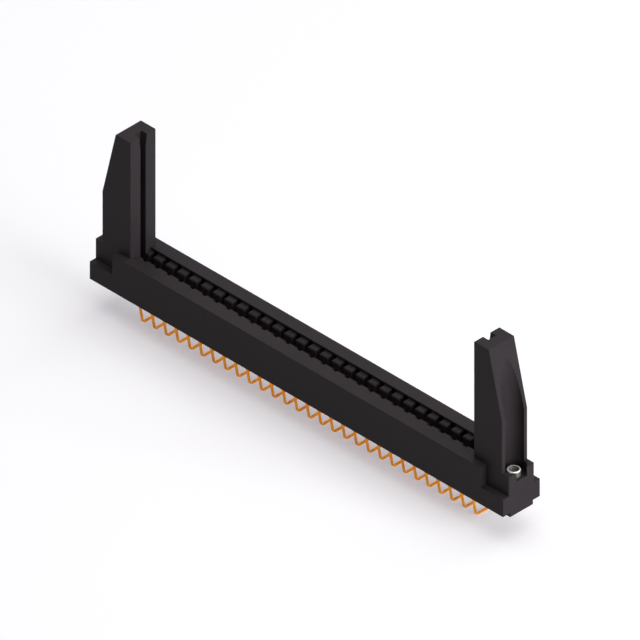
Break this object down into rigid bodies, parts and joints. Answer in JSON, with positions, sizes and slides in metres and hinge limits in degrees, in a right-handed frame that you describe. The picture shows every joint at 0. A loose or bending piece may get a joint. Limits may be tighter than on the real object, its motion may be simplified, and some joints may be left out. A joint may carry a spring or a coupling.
{
  "type": "card edge connector",
  "caption": "Long dual-row edge connector with tall card guides at its ends, a screw insert in each ear and gold tails bent to the back.",
  "frame": {"origin": "midway between the two screw holes, level with the undersides of the feet", "axes": "+X along the card slot, +Y towards the side that the tails are bent to, +Z the way the card is pulled out"},
  "size_m": [0.1376, 0.0156, 0.0521],
  "materials": {
    "black_polyester": "fine matte moulded thermoplastic",
    "gold_plate": "gold plated copper alloy",
    "nickel_plate": "nickel plated brass"
  },
  "bodies": {
    "root": {"housing": "black_polyester", "insert_left": "nickel_plate", "insert_right": "nickel_plate", "contact_pair_01": "gold_plate", "contact_pair_02": "gold_plate", "contact_pair_03": "gold_plate", "contact_pair_04": "gold_plate", "contact_pair_05": "gold_plate", "contact_pair_06": "gold_plate", "contact_pair_07": "gold_plate", "contact_pair_08": "gold_plate", "contact_pair_09": "gold_plate", "contact_pair_10": "gold_plate", "contact_pair_11": "gold_plate", "contact_pair_12": "gold_plate", "contact_pair_13": "gold_plate", "contact_pair_14": "gold_plate", "contact_pair_15": "gold_plate", "contact_pair_16": "gold_plate", "contact_pair_17": "gold_plate", "contact_pair_18": "gold_plate", "contact_pair_19": "gold_plate", "contact_pair_20": "gold_plate", "contact_pair_21": "gold_plate", "contact_pair_22": "gold_plate", "contact_pair_23": "gold_plate", "contact_pair_24": "gold_plate", "contact_pair_25": "gold_plate", "contact_pair_26": "gold_plate", "contact_pair_27": "gold_plate", "contact_pair_28": "gold_plate", "contact_pair_29": "gold_plate"}
  },
  "joints": []
}
